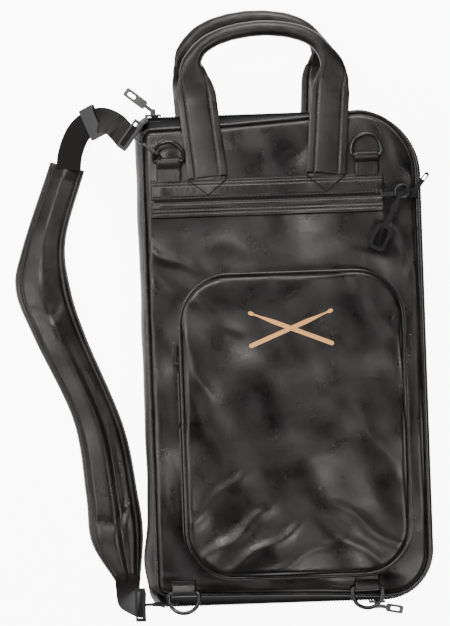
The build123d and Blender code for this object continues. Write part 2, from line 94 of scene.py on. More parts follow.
camera = bpy.data.objects.new("camera", bpy.data.cameras.new("camera"))
camera.location = (-0.0578, 0.0462, 1.85)
camera.rotation_euler = (0, 0, math.radians(-2))
camera.data.lens = 106.4
bpy.context.scene.collection.objects.link(camera)
bpy.context.scene.camera = camera

# ---- front panel ----
# Soft black leather-look sheet over thin foam, cut to the case outline and sewn face to
# face with a corded piping. It crowns a little, rolls over at its edge and has creases
# where the case has been folded.

HALF_WIDTH = 140.0
HALF_HEIGHT = 242.0
CORNERS = (66.0, 16.0, 18.0, 50.0)     # top right, top left, bottom left, bottom right
MID_Z = 27.0
FRONT_Z = 54.0
PANEL_INSET = 9.1


def nodes_of(material):
    """Two short calls for a material's shader nodes: add a node, and join two nodes."""
    tree = material.node_tree

    def add(kind, settings=None, **inputs):
        node = tree.nodes.new("ShaderNode" + kind)
        for key, value in (settings or {}).items():
            setattr(node, key, value)
        for key, value in inputs.items():
            node.inputs[key.replace("_", " ")].default_value = value
        return node

    def join(source, output, target, socket):
        tree.links.new(source.outputs[output], target.inputs[socket])

    return add, join


def leather(name, dark, light, rough, grain=620.0, depth=0.22, loose=1.0):
    """Leather-look finish. Fine pebbles are cells of a Voronoi pattern, drawn together in
    places by a stretched noise, and the colour is darker in the gaps between them; a crease noise changes the
    polish, and a slow cloudy noise paints broad lighter patches into the colour as painted highlights."""
    made = bpy.data.materials.new(name)
    made.use_nodes = True
    add, join = nodes_of(made)
    skin = made.node_tree.nodes["Principled BSDF"]
    skin.inputs["Specular IOR Level"].default_value = 0.42
    skin.inputs["Specular Tint"].default_value = (1.0, 0.955, 0.94, 1)
    skin.inputs["Sheen Weight"].default_value = 0.02
    skin.inputs["Sheen Roughness"].default_value = 0.5
    place = add("TexCoord")
    pebbles = add("TexVoronoi", {"feature": "DISTANCE_TO_EDGE"}, Scale=grain, Randomness=0.9)
    pull = add("TexNoise", Scale=260.0, Detail=3.0, Roughness=0.6)
    painted_highlight_clouds = add("TexNoise", Scale=14.0, Detail=5.0, Roughness=0.6)
    creases = add("TexNoise", Scale=40.0, Detail=3.0, Roughness=0.5, Distortion=0.3)
    for texture in (pebbles, pull, painted_highlight_clouds, creases):
        join(place, "Object", texture, "Vector")
    step = add("MapRange", From_Min=0.0, From_Max=0.12)
    join(pebbles, "Distance", step, "Value")
    # Painted highlight: the slow cloudy noise blends the dark leather colour into the lighter one in broad
    # patches, standing in for the sheen of the lamps on the leather.
    tone = add("ValToRGB")
    tone.color_ramp.elements[0].position = 0.42
    tone.color_ramp.elements[0].color = (*dark, 1)
    tone.color_ramp.elements[1].position = 0.66
    tone.color_ramp.elements[1].color = (*light, 1)
    join(painted_highlight_clouds, "Fac", tone, "Fac")
    # The colour is multiplied down in the gaps between the pebbles.
    darker_in_gaps = add("Mix", {"data_type": "RGBA", "blend_type": "MULTIPLY"})
    darker_in_gaps.inputs["Factor"].default_value = 0.4
    join(tone, "Color", darker_in_gaps, "A")
    join(step, "Result", darker_in_gaps, "B")
    join(darker_in_gaps, "Result", skin, "Base Color")
    polish = add("MapRange", From_Min=0.3, From_Max=0.7, To_Min=rough - 0.07, To_Max=rough + 0.1)
    join(creases, "Fac", polish, "Value")
    join(polish, "Result", skin, "Roughness")
    broad = add("Bump", Strength=0.22 * loose, Distance=0.0016)
    join(creases, "Fac", broad, "Height")
    middle = add("Bump", Strength=0.12 * loose, Distance=0.0006)
    join(pull, "Fac", middle, "Height")
    join(broad, "Normal", middle, "Normal")
    fine = add("Bump", Strength=depth, Distance=0.0002)
    join(step, "Result", fine, "Height")
    join(middle, "Normal", fine, "Normal")
    join(fine, "Normal", skin, "Normal")
    return made


def put_mesh(name, points, quads, tris, finish, body, slot, *stands_for):
    """Mesh from points in millimetres and faces. It rides on a body and stands for CAD nodes."""
    mesh = bpy.data.meshes.new(name)
    sizes = np.concatenate([np.full(len(quads), 4), np.full(len(tris), 3)]).astype(np.int32)
    corners = np.concatenate([np.ravel(quads), np.ravel(tris)]).astype(np.int32)
    mesh.vertices.add(len(points))
    mesh.vertices.foreach_set("co", (points * MM).astype(np.float32).ravel())
    mesh.loops.add(len(corners))
    mesh.loops.foreach_set("vertex_index", corners)
    mesh.polygons.add(len(sizes))
    mesh.polygons.foreach_set("loop_start", (np.cumsum(sizes) - sizes).astype(np.int32))
    mesh.polygons.foreach_set("loop_total", sizes)
    mesh.polygons.foreach_set("use_smooth", np.ones(len(sizes), bool))
    mesh.update(calc_edges=True)
    mesh.validate()
    mesh.materials.append(finish)
    piece = bpy.data.objects.new(name, mesh)
    bpy.context.scene.collection.objects.link(piece)
    if body:
        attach(piece, body)
    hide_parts(*stands_for)
    return piece


def surface_faces(rows, columns, closed=False, first_tip=False, last_tip=False):
    """Quads of a grid whose columns may close on themselves, and fans to a tip at either end."""
    index = np.arange(rows * columns).reshape(rows, columns)
    if closed:
        index = np.concatenate([index, index[:, :1]], axis=1)
    quads = np.stack([index[:-1, :-1], index[:-1, 1:], index[1:, 1:], index[1:, :-1]], axis=-1)
    quads = quads.reshape(-1, 4)
    tris = np.zeros((0, 3), int)
    tip = rows * columns
    if first_tip:
        ring = index[0]
        tris = np.concatenate([tris, np.stack([ring[1:], ring[:-1], np.full(len(ring) - 1, tip)], -1)])
        tip += 1
    if last_tip:
        ring = index[-1]
        tris = np.concatenate([tris, np.stack([ring[:-1], ring[1:], np.full(len(ring) - 1, tip)], -1)])
    return quads, tris


def put_surface(name, grid, finish, body, slot, *stands_for, closed=False, tips=(False, False),
                flip=False):
    """Grid of points, rows by columns, as one surface; a tip is the mean of an end row."""
    if flip:
        grid = grid[:, ::-1]
    rows, columns = grid.shape[:2]
    quads, tris = surface_faces(rows, columns, closed, *tips)
    ends = [grid[row].mean(axis=0)[None] for row, tip in ((0, tips[0]), (-1, tips[1])) if tip]
    points = np.concatenate([grid.reshape(-1, 3), *ends])
    return put_mesh(name, points, quads, tris, finish, body, slot, *stands_for)


def rounded_outline(half_width, half_height, radii, count, centre=(0.0, 0.0)):
    """Points evenly spaced round a rectangle with four corner arcs, and their outward
    normals. It starts in the middle of the left side and runs counter-clockwise."""
    sweep = np.linspace(0, math.pi / 2, 40)
    places = ((1, 1, 0), (-1, 1, 1), (-1, -1, 2), (1, -1, 3))
    arcs = []
    for (sign_x, sign_y, turn), radius in zip(places, radii):
        angle = sweep + turn * math.pi / 2
        arcs.append(np.stack([sign_x * (half_width - radius) + radius * np.cos(angle),
                              sign_y * (half_height - radius) + radius * np.sin(angle)], -1))
    start = np.array([[-half_width, 0.0]])
    line = np.concatenate([start, arcs[2], arcs[3], arcs[0], arcs[1], start])
    length = np.concatenate([[0], np.cumsum(np.hypot(*np.diff(line, axis=0).T))])
    at = np.linspace(0, length[-1], count, endpoint=False)
    points = np.stack([np.interp(at, length, line[:, axis]) for axis in (0, 1)], -1)
    along = np.roll(points, -1, axis=0) - np.roll(points, 1, axis=0)
    along /= np.linalg.norm(along, axis=1)[:, None]
    return points + np.array(centre), np.stack([along[:, 1], -along[:, 0]], -1)


def folds(x, y, table):
    """Sum of soft ridges. Each row of the table is a line from (x0, y0) to (x1, y1) with a
    height and a width; a ridge falls off as a bell across it and past its ends."""
    rows = np.array(table, float)
    start, end = rows[:, 0:2], rows[:, 2:4]
    along = end - start
    length = np.linalg.norm(along, axis=1)
    along = along / length[:, None]
    rel_x = x[..., None] - start[:, 0]
    rel_y = y[..., None] - start[:, 1]
    run = rel_x * along[:, 0] + rel_y * along[:, 1]
    off = rel_x * along[:, 1] - rel_y * along[:, 0]
    past = np.maximum(np.maximum(-run, run - length), 0)
    bend = off + 2.2 * np.sin(run * 0.11 + rows[:, 4] * 9)
    return (rows[:, 4] * np.exp(-(bend / rows[:, 5]) ** 2 - (past / 14) ** 2)).sum(axis=-1)


def waves(x, y, size, height):
    """Slow uneven swell: five sines across the sheet in different directions."""
    total = np.zeros_like(x)
    for turn in range(5):
        angle = 0.4 + turn * 1.31
        pitch = 2 * math.pi / (size * (0.7 + 0.23 * turn))
        total = total + np.sin((x * math.cos(angle) + y * math.sin(angle)) * pitch + turn * 2.1)
    return height * total / 5


FRONT_FOLDS = (
    (-134, 112, -92, 92, 1.7, 5), (-128, 96, -104, 62, -1.0, 6), (-132, 44, -112, -6, 1.0, 6),
    (98, 232, 124, 178, 1.3, 6), (34, 234, 74, 208, 1.1, 6), (104, 134, 122, 92, 1.3, 5),
    (110, 118, 127, 60, -0.9, 6), (-58, 222, -12, 196, 0.9, 8), (14, 198, 58, 224, -0.9, 7),
    (-126, -52, -110, -150, 0.9, 5), (-60, 112, 20, 96, 0.8, 8), (40, 120, 92, 96, 0.9, 7),
    (-120, -212, -60, -224, 0.8, 5), (20, -222, 90, -212, 0.8, 5), (-110, 205, -118, 150, 0.9, 6),
)


def front_height(x, y):
    """Height of the front panel: flat with a slight crown, slow waves and the folds."""
    crown = 1.3 * (1 - (x / 131) ** 2) * (1 - (y / 233) ** 2)
    swell = waves(x, y, 105, 4.2) * (1 - 0.6 * between(y, 130, 190))
    return FRONT_Z + crown + swell + waves(x, y, 46, 0.9) + folds(x, y, FRONT_FOLDS)


def settle(grid):
    """The front half has slipped on the rear one: its top sits lower at the left and higher
    at the right, and its bottom is drawn up. The slip grows with height above the zip."""
    x, y, z = grid[..., 0], grid[..., 1], grid[..., 2]
    slip = np.interp(x, [-135, -50, 22, 80, 140], [-8.5, -6.0, -1.5, 3.2, 1.5])
    lift = np.interp(x, [-140, 30, 110], [9.0, 5.0, 0.0])
    moved = grid.copy()
    moved[..., 1] = y + (slip * between(y, 188, 234) + lift * between(-y, 196, 236)) * between(z, 26, 46)
    return moved


def between(value, low, high):
    """Smooth step from 0 at low to 1 at high."""
    share = np.clip((value - low) / (high - low), 0, 1)
    return share * share * (3 - 2 * share)


def panel_grid(height, count=420, rings=96):
    """Turned lip, rolled edge, then rings that shrink to the panel's middle. The edge roll
    is a quarter of a circle of 5 mm radius."""
    line, out = rounded_outline(HALF_WIDTH, HALF_HEIGHT, CORNERS, count)
    lip = [(PANEL_INSET, z) for z in (40.0, 43.0, 46.0, 48.5)]
    roll = np.linspace(0, math.pi / 2, 7)
    rows = [np.concatenate([line - out * inset, np.full((count, 1), z)], axis=1) for inset, z in lip]
    for angle in roll:
        flat = line - out * (PANEL_INSET + 5 * (1 - math.cos(angle)))
        top = height(flat[:, 0], flat[:, 1])
        rows.append(np.stack([flat[:, 0], flat[:, 1], 49.0 + (top - 49.0) * math.sin(angle)], -1))
    rim = rows[-1][:, :2]
    for share in np.linspace(1, 0.008, rings)[1:]:
        flat = rim * share
        rows.append(np.stack([flat[:, 0], flat[:, 1], height(flat[:, 0], flat[:, 1])], -1))
    return np.array(rows)


# The second colour is the lighter end of the painted highlight patches.
panel_leather = leather("soft black leather", (0.002, 0.0018, 0.0018), (0.02, 0.0168, 0.0158), 0.31)
put_surface("front_panel", settle(panel_grid(front_height)), panel_leather, "front_case", "leather",
            "front_shell", closed=True, tips=(False, True))

# ---- rear panel ----
# The same sheet on the back. It is flat where the bag lies on it, and set in at the top
# where the rear handle and its band are sewn.

REAR_FOLDS = (
    (-120, 120, -60, 96, -1.2, 6), (60, 110, 118, 84, -1.2, 6), (-90, 20, -20, -30, -0.8, 8),
    (20, 30, 90, -16, -0.8, 8), (-80, -120, -30, -180, -0.9, 7), (40, -100, 100, -170, -0.9, 7),
    (-100, 205, -60, 228, -0.8, 6), (70, 226, 110, 190, -0.9, 6),
)


def rear_height(x, y):
    """Height of the rear panel out from the zip line, 5 mm lower above the handle band."""
    step = np.clip((y - 118) / 16, 0, 1)
    return FRONT_Z - 0.3 - 4.9 * step * step * (3 - 2 * step) + np.minimum(folds(x, y, REAR_FOLDS), 0)


def to_rear(grid):
    """The grid mirrored to the rear of the zip line."""
    rear = grid.copy()
    rear[..., 2] = 2 * MID_Z - rear[..., 2]
    return rear


put_surface("rear_panel", to_rear(panel_grid(rear_height)), panel_leather, "rear_case", "leather",
            "rear_shell", closed=True, tips=(False, True), flip=True)

# ---- corded piping ----
# A 3.6 mm cord in a bias strip of the same leather, caught in the seam round each panel.


def round_cord(line, out, inset, z, radius, sides=16, lump=0.03):
    """Circle of the given radius carried round an outline, a little uneven along it."""
    angle = np.linspace(0, 2 * math.pi, sides, endpoint=False)
    size = radius * (1 + lump * np.sin(np.arange(len(line)) * 0.83) * np.sin(np.arange(len(line)) * 0.31))
    reach = inset - np.cos(angle)[None, :] * size[:, None]
    flat = line[:, None, :] - out[:, None, :] * reach[..., None]
    height = z - np.sin(angle)[None, :] * size[:, None]
    return np.concatenate([flat, height[..., None]], axis=-1)


# The second colour is the lighter end of the painted highlight patches.
piping_leather = leather("piping leather", (0.01, 0.009, 0.009), (0.024, 0.021, 0.02), 0.22, 900.0, 0.12, 0.1)
case_line, case_out = rounded_outline(HALF_WIDTH, HALF_HEIGHT, CORNERS, 520)
case_cord = round_cord(case_line, case_out, 7.2, 49.5, 1.9)
case_cord = np.concatenate([case_cord, case_cord[:1]])
put_surface("front_cord", settle(case_cord), piping_leather, "front_case", "piping", "front_piping",
            closed=True)
put_surface("rear_cord", to_rear(case_cord), piping_leather, "rear_case", "piping", "rear_piping",
            closed=True, flip=True)

# ---- main zip ----
# Black woven tape on three sides of each half, with a nylon coil sewn along its edge.
# The two coils mesh at the case's widest line.


def woven(name, colour, rough, thread=6000.0, depth=0.6):
    """Plain weave: two sets of fine bands at right angles over the tape, with fuzzy noise."""
    made = bpy.data.materials.new(name)
    made.use_nodes = True
    add, join = nodes_of(made)
    cloth = made.node_tree.nodes["Principled BSDF"]
    cloth.inputs["Roughness"].default_value = rough
    cloth.inputs["Specular IOR Level"].default_value = 0.25
    cloth.inputs["Sheen Weight"].default_value = 0.12
    place = add("TexCoord")
    over = add("TexWave", {"bands_direction": "X"}, Scale=thread / 20, Distortion=0.4, Detail=1.0)
    under = add("TexWave", {"bands_direction": "Y"}, Scale=thread / 20, Distortion=0.4, Detail=1.0)
    fuzz = add("TexNoise", Scale=240.0, Detail=5.0, Roughness=0.7)
    for texture in (over, under, fuzz):
        join(place, "Object", texture, "Vector")
    cross = add("Math", {"operation": "MULTIPLY"})
    join(over, "Fac", cross, 0)
    join(under, "Fac", cross, 1)
    tone = add("ValToRGB")
    tone.color_ramp.elements[0].color = (*[c * 0.45 for c in colour], 1)
    tone.color_ramp.elements[1].color = (*[c * 1.5 for c in colour], 1)
    join(cross, "Value", tone, "Fac")
    soil = add("Mix", {"data_type": "RGBA", "blend_type": "MULTIPLY"})
    soil.inputs["Factor"].default_value = 0.5
    join(tone, "Color", soil, "A")
    join(fuzz, "Fac", soil, "B")
    join(soil, "Result", cloth, "Base Color")
    threads = add("Bump", Strength=depth, Distance=0.00025)
    join(cross, "Value", threads, "Height")
    hairs = add("Bump", Strength=0.3, Distance=0.0002)
    join(fuzz, "Fac", hairs, "Height")
    join(threads, "Normal", hairs, "Normal")
    join(hairs, "Normal", cloth, "Normal")
    return made


def nylon(name, colour, rough):
    """Moulded nylon or lacquer: even colour with a faint mottle and a slight orange peel."""
    made = bpy.data.materials.new(name)
    made.use_nodes = True
    add, join = nodes_of(made)
    shell = made.node_tree.nodes["Principled BSDF"]
    place = add("TexCoord")
    peel = add("TexNoise", Scale=700.0, Detail=3.0)
    mottle = add("TexNoise", Scale=60.0, Detail=4.0)
    for texture in (peel, mottle):
        join(place, "Object", texture, "Vector")
    tone = add("ValToRGB")
    tone.color_ramp.elements[0].color = (*[c * 0.75 for c in colour], 1)
    tone.color_ramp.elements[1].color = (*[c * 1.3 for c in colour], 1)
    join(mottle, "Fac", tone, "Fac")
    join(tone, "Color", shell, "Base Color")
    polish = add("MapRange", To_Min=rough - 0.06, To_Max=rough + 0.1)
    join(mottle, "Fac", polish, "Value")
    join(polish, "Result", shell, "Roughness")
    skin = add("Bump", Strength=0.12, Distance=0.0002)
    join(peel, "Fac", skin, "Height")
    join(skin, "Normal", shell, "Normal")
    return made


tape_cloth = woven("black zip tape", (0.008, 0.008, 0.0085), 0.9)
coil_nylon = nylon("zip nylon", (0.035, 0.034, 0.034), 0.32)
open_sides = case_line[:, 0] > -127.5
zip_line, zip_out = case_line[open_sides], case_out[open_sides]


def strip_round(line, out, insets, heights):
    """Profile of insets and heights carried along an outline; rows run along the outline."""
    flat = line[:, None, :] - out[:, None, :] * np.array(insets)[None, :, None]
    height = np.broadcast_to(np.array(heights, float), (len(line), len(heights)))
    return np.concatenate([flat, height[..., None]], axis=-1)


tape_profile = ((0.9, 0.9, 2.9, 4.9, 7.6, 8.4, 5.9, 3.6), (27.5, 28.0, 28.3, 39.0, 46.8, 46.6, 39.0, 27.5))
tape = strip_round(zip_line, zip_out, *tape_profile)[:, ::-1]
put_surface("front_tape", settle(tape), tape_cloth, "front_case", "zip_tape", "front_zip_tape", closed=True,
            tips=(True, True))
put_surface("rear_tape", to_rear(tape), tape_cloth, "rear_case", "zip_tape", "rear_zip_tape", closed=True,
            tips=(True, True), flip=True)


def bead(length, width, height, sides=6, rings=5):
    """Small lozenge, the shape of a stitch or a coil turn: a circle swept pole to pole."""
    along = np.linspace(0, math.pi, rings)[1:-1]
    angle = np.linspace(0, 2 * math.pi, sides, endpoint=False)
    body = np.stack(np.broadcast_arrays(-np.cos(along)[:, None] * length / 2,
                                        np.sin(along)[:, None] * np.cos(angle)[None] * width / 2,
                                        np.sin(along)[:, None] * np.sin(angle)[None] * height / 2), -1)
    quads, tris = surface_faces(rings - 2, sides, True, True, True)
    ends = np.array([[-length / 2, 0, 0], [length / 2, 0, 0]])
    return np.concatenate([body.reshape(-1, 3), ends]), quads, tris


def put_beads(name, at, along, up, shape, finish, body, slot, *stands_for):
    """The same small lozenge at every point, turned along its line."""
    points, quads, tris = bead(*shape)
    along = along / np.linalg.norm(along, axis=1)[:, None]
    side = np.cross(up, along)
    side = side / np.linalg.norm(side, axis=1)[:, None]
    lift = np.cross(along, side)
    spread = (at[:, None] + along[:, None] * points[None, :, :1] + side[:, None] * points[None, :, 1:2]
              + lift[:, None] * points[None, :, 2:])
    shift = (np.arange(len(at)) * len(points))[:, None, None]
    return put_mesh(name, spread.reshape(-1, 3), (quads + shift).reshape(-1, 4),
                    (tris + shift).reshape(-1, 3), finish, body, slot, *stands_for)


def evenly(line, pitch):
    """Points along an open line at an even pitch, and the direction at each."""
    length = np.concatenate([[0], np.cumsum(np.linalg.norm(np.diff(line, axis=0), axis=1))])
    at = np.arange(pitch / 2, length[-1], pitch)
    points = np.stack([np.interp(at, length, line[:, axis]) for axis in range(3)], -1)
    ahead = np.stack([np.interp(at + pitch / 2, length, line[:, axis]) for axis in range(3)], -1)
    behind = np.stack([np.interp(at - pitch / 2, length, line[:, axis]) for axis in range(3)], -1)
    return points, ahead - behind


coil_line = np.concatenate([zip_line - zip_out * 1.3, np.full((len(zip_line), 1), 28.7)], axis=1)
turns, coil_way = evenly(coil_line, 2.8)
across_coil = np.cross(coil_way, [0, 0, 1.0])
slant = np.stack([np.zeros(len(turns)), np.zeros(len(turns)), np.ones(len(turns))], -1) + across_coil * 0.12
put_beads("front_coil", turns, slant, coil_way, (2.6, 1.5, 2.6), coil_nylon, "front_case",
          "zip_coil", "front_zip_coil")
rear_turns = turns * [1, 1, -1] + [0, 0, 2 * MID_Z]
put_beads("rear_coil", rear_turns, slant * [1, 1, -1], coil_way, (2.6, 1.5, 2.6), coil_nylon, "rear_case",
          "zip_coil", "rear_zip_coil")

# ---- spine ----
# One strip of leather closes the fourth side, where the case opens like a book. It is
# drawn as one fixed shape, bowed out along its middle.

spine_rows = case_line[:, 0] < -126.0
upper_rows = spine_rows & (case_line[:, 1] > 0)
lower_rows = spine_rows & (case_line[:, 1] <= 0)
spine_line = np.concatenate([case_line[upper_rows], case_line[lower_rows]])
spine_out = np.concatenate([case_out[upper_rows], case_out[lower_rows]])
angle = np.linspace(-1, 1, 33)
spine_inset = 0.4 + 7.4 * np.abs(angle) ** 2.2
spine = strip_round(spine_line, spine_out, spine_inset, MID_Z + angle * 20.5)
swell = np.exp(-((spine_line[:, 1] + 195) / 26) ** 2) * 5.0
swell = swell + waves(spine_line[:, 0], spine_line[:, 1], 60, 0.9)
spine[..., 0] -= (swell[:, None] * (1 - angle[None] ** 2))
spine_piece = put_surface("spine_leather", spine, panel_leather, None, "leather", "spine_gusset_front",
                          "spine_gusset_rear", "spine_fold")
thick = spine_piece.modifiers.new("thickness", "SOLIDIFY")
thick.thickness = 0.0012
thick.offset = -1
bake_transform(spine_piece)

# ---- bands and slash pocket ----
# A leather band crosses each side under the handles. The front one is two strips, with a
# zip between them, and is sewn down with double rows of black thread.


def carried_flat(x_low, x_high, y_low, y_high, height, lift, columns=240, rows=44, edge=1.2):
    """Patch that follows the panel under it at the given lift, with its rim turned down."""
    x = np.linspace(x_low, x_high, columns)[None, :].repeat(rows, 0)
    y = np.linspace(y_low, y_high, rows)[:, None].repeat(columns, 1)
    rim = np.minimum.reduce([x - x_low, x_high - x, y - y_low, y_high - y])
    soft = np.sqrt(np.clip(rim / edge, 0, 1))
    return np.stack([x, y, height(x, y) + lift * (0.1 + 0.9 * soft)], -1)


BAND_ROWS = (173.8, 170.8, 159.2, 153.6, 147.6, 144.2)


def band_height(x, y):
    """Panel height with the band's soft ripples, drawn down along each stitch row."""
    rows = np.exp(-((y[..., None] - np.array(BAND_ROWS)) / 0.9) ** 2).sum(axis=-1)
    pucker = 0.1 * np.sin(x * 0.9 + np.sin(x * 0.13) * 3) * between(y, 160, 172)
    return front_height(x, y) + waves(x, y, 34, 0.4) + pucker - 0.55 * rows


# The second colour is the lighter end of the painted highlight patches.
band_leather = leather("band leather", (0.003, 0.0026, 0.0025), (0.022, 0.0185, 0.0175), 0.34)
for strip, low, high in (("band_upper", 157.2, 176.8), ("band_lower", 139.3, 155.4)):
    put_surface(strip + "_leather", carried_flat(-126, 100.5, low, high, band_height, 2.0), band_leather,
                "front_case", "leather", strip)
thread = nylon("black thread", (0.03, 0.028, 0.028), 0.42)


def on_front(points, lift):
    """Line of (x, y) corners, finely divided and laid on the band at a lift."""
    corners = np.array(points, float)
    length = np.concatenate([[0], np.cumsum(np.linalg.norm(np.diff(corners, axis=0), axis=1))])
    at = np.linspace(0, length[-1], max(int(length[-1] / 2), 4))
    flat = np.stack([np.interp(at, length, corners[:, axis]) for axis in (0, 1)], -1)
    return np.concatenate([flat, (band_height(flat[:, 0], flat[:, 1]) + lift)[:, None]], axis=1)


def put_stitches(name, lines, body, slot="leather", pitch=3.6, shape=(2.4, 1.2, 1.1)):
    """Rows of thread along several lines as one piece."""
    pairs = [evenly(line, pitch) for line in lines]
    at = np.concatenate([pair[0] for pair in pairs])
    along = np.concatenate([pair[1] for pair in pairs])
    up = np.broadcast_to(np.array([0, 0, 1.0]), at.shape)
    return put_beads(name, at, along, up, shape, thread, body, slot)


band_rows = [on_front([(-124, y), (98, y)], 2.15) for y in BAND_ROWS]
band_rows.append(on_front([(93, 174), (93, 141)], 2.1))
put_stitches("band_stitches", band_rows, "front_case")


def rear_band_height(x, y):
    """Height of the rear panel under its band."""
    return rear_height(x, y)


rear_strip = carried_flat(-126, 100, 139, 177, rear_band_height, 1.9)
put_surface("rear_band_leather", to_rear(rear_strip), band_leather, "rear_case", "leather", "rear_band",
            flip=True)

slash_tape = carried_flat(-123, 129, 151.5, 161.5, front_height, 0.9, rows=12)
put_surface("slash_tape", slash_tape, tape_cloth, "front_case", "zip_coil", "slash_zip")
slash_x = np.arange(98.0, 124.0, 1.5)
slash_z = front_height(slash_x, slash_x * 0 + 156) + 1.4
slash_way = np.tile([0.15, 1.0, 0], (len(slash_x), 1))
slash_up = np.tile([0, 0, 1.0], (len(slash_x), 1))
for side, shift in (("upper", 1.0), ("lower", -1.0)):
    at = np.stack([slash_x, np.full(len(slash_x), 156.0 + shift), slash_z], -1)
    put_beads("slash_coil_" + side, at, slash_way, slash_up, (2.4, 1.1, 1.3), coil_nylon, "front_case",
              "zip_coil")

# ---- carry handles ----
# Each handle is one strap of doubled leather. Two flat legs, pointed and sewn to the
# band, roll round a soft core into one grip.


def smooth_path(points, count):
    """Catmull-Rom curve through the points, sampled evenly in length."""
    knots = np.array(points, float)
    ends = np.concatenate([2 * knots[:1] - knots[1:2], knots, 2 * knots[-1:] - knots[-2:-1]])
    share = np.linspace(0, 1, 24, endpoint=False)[:, None]
    spans = []
    for first in range(len(knots) - 1):
        p0, p1, p2, p3 = ends[first:first + 4]
        spans.append(0.5 * ((2 * p1) + (p2 - p0) * share + (2 * p0 - 5 * p1 + 4 * p2 - p3) * share ** 2
                            + (3 * p1 - p0 - 3 * p2 + p3) * share ** 3))
    line = np.concatenate([*spans, knots[-1:]])
    length = np.concatenate([[0], np.cumsum(np.linalg.norm(np.diff(line, axis=0), axis=1))])
    at = np.linspace(0, length[-1], count)
    return np.stack([np.interp(at, length, line[:, axis]) for axis in range(knots.shape[1])], -1)


def carried_section(path, up, half_wide, half_thick, power, sides=28):
    """Superellipse carried along a path: half widths and powers may change along it."""
    along = np.gradient(path, axis=0)
    along /= np.linalg.norm(along, axis=1)[:, None]
    across = np.cross(up, along)
    across /= np.linalg.norm(across, axis=1)[:, None]
    lift = np.cross(along, across)
    turn = np.linspace(0, 2 * math.pi, sides, endpoint=False)
    cos, sin = np.cos(turn)[None], np.sin(turn)[None]
    share = 2 / np.broadcast_to(power, len(path))[:, None]
    wide = np.sign(cos) * np.abs(cos) ** share * np.broadcast_to(half_wide, len(path))[:, None]
    tall = np.sign(sin) * np.abs(sin) ** share * np.broadcast_to(half_thick, len(path))[:, None]
    return path[:, None] + across[:, None] * wide[..., None] + lift[:, None] * tall[..., None]


def handle(name, shift, top, leg_z, grip_z, node, body):
    """Leg, grip and leg as one section that goes from flat strap to round roll."""
    route = smooth_path([(-70, 178), (-74.5, 222), (-78, top - 62), (-80.5, top - 46), (-81.5, top - 31),
                         (-70, top - 15), (-47, top - 4.5), (-15, top), (17, top - 3.5), (39, top - 14),
                         (52.5, top - 33), (54, top - 48), (51.5, top - 63), (48.5, 222), (45, 178)], 230)
    route[:, 0] += shift
    roll = between(route[:, 1], top - 66, top - 17)
    height = leg_z + (grip_z - leg_z) * roll + waves(route[:, 0], route[:, 1], 50, 0.25)
    path = np.concatenate([route, height[:, None]], axis=1)
    up = np.tile([0, 0, 1.0], (len(path), 1))
    crease = 1 + 0.012 * np.sin(route[:, 0] * 0.35 + route[:, 1] * 0.2) * roll
    half = (19 - 11.6 * roll) * crease
    grid = carried_section(path, up, half, (1.45 + 6.1 * roll) * crease, 6 - 3.8 * roll, 144)
    off = np.linalg.norm((grid - path[:, None])[..., :2], axis=-1)
    top_side = (grid[..., 2] > height[:, None]) * (1 - roll)[:, None]
    grid[..., 2] -= 0.6 * np.exp(-((off - 11.5) / 1.0) ** 2) * top_side
    grid[..., 2] += 0.5 * np.exp(-(off / 7) ** 2) * top_side
    put_surface(name, grid, band_leather, body, "leather", node, closed=True, tips=(True, True))
    rows = []
    for base, lean in ((-70, -8), (45, 6.5)):
        for side in (-11.5, 11.5):
            run = np.linspace(0, 1, 60)
            y = 180 + run * (top - 66 - 180)
            rows.append(np.stack([base + shift + lean * run + side, y, np.full(60, leg_z + 1.15)], -1))
    return rows


def tips(name, shift, height, node, body, lift):
    """Pointed ends of the two legs, following the band under them."""
    grids = []
    for middle in (-70 + shift, 45 + shift):
        run = np.linspace(0, 1, 30)[:, None]
        y = 178.5 - run * 18.5
        half = np.minimum(18.6, np.maximum((y - 160.0) * 1.22, 0.2))
        x = middle + np.linspace(-1, 1, 30)[None] * half
        y = y.repeat(30, 1)
        rim = np.minimum(half - np.abs(x - middle), (y - 160.0))
        grids.append(np.stack([x, y, height(x, y) + lift * np.sqrt(np.clip(rim / 1.2, 0.02, 1))], -1)[::-1])
    quads, tris = surface_faces(30, 30)
    return grids, quads, tris


front_rows = handle("front_handle_leather", 0.0, 320.5, 57.6, 58.2, "front_handle", "front_handle")
put_stitches("front_handle_stitches", front_rows, "front_handle")
tip_grids, tip_quads, tip_tris = tips("front", 0.0, band_height, "front_handle_tips", "front_case", 3.4)
put_mesh("front_tips", np.concatenate([g.reshape(-1, 3) for g in tip_grids]),
         np.concatenate([tip_quads, tip_quads + 900]), tip_tris, band_leather, "front_case", "leather",
         "front_handle_tips")
handle("rear_handle_leather", -6.0, 339.0, 1.6, 7.9, "rear_handle", "rear_handle")
tip_grids = tips("rear", -6.0, rear_band_height, "rear_handle_tips", "rear_case", 3.0)[0]
put_mesh("rear_tips", np.concatenate([to_rear(g)[:, ::-1].reshape(-1, 3) for g in tip_grids]),
         np.concatenate([tip_quads, tip_quads + 900]), tip_tris, band_leather, "rear_case", "leather",
         "rear_handle_tips")

# ---- D-ring tabs ----
# Folded leather loops hold the bars of the four rings, each sewn down with two rows.

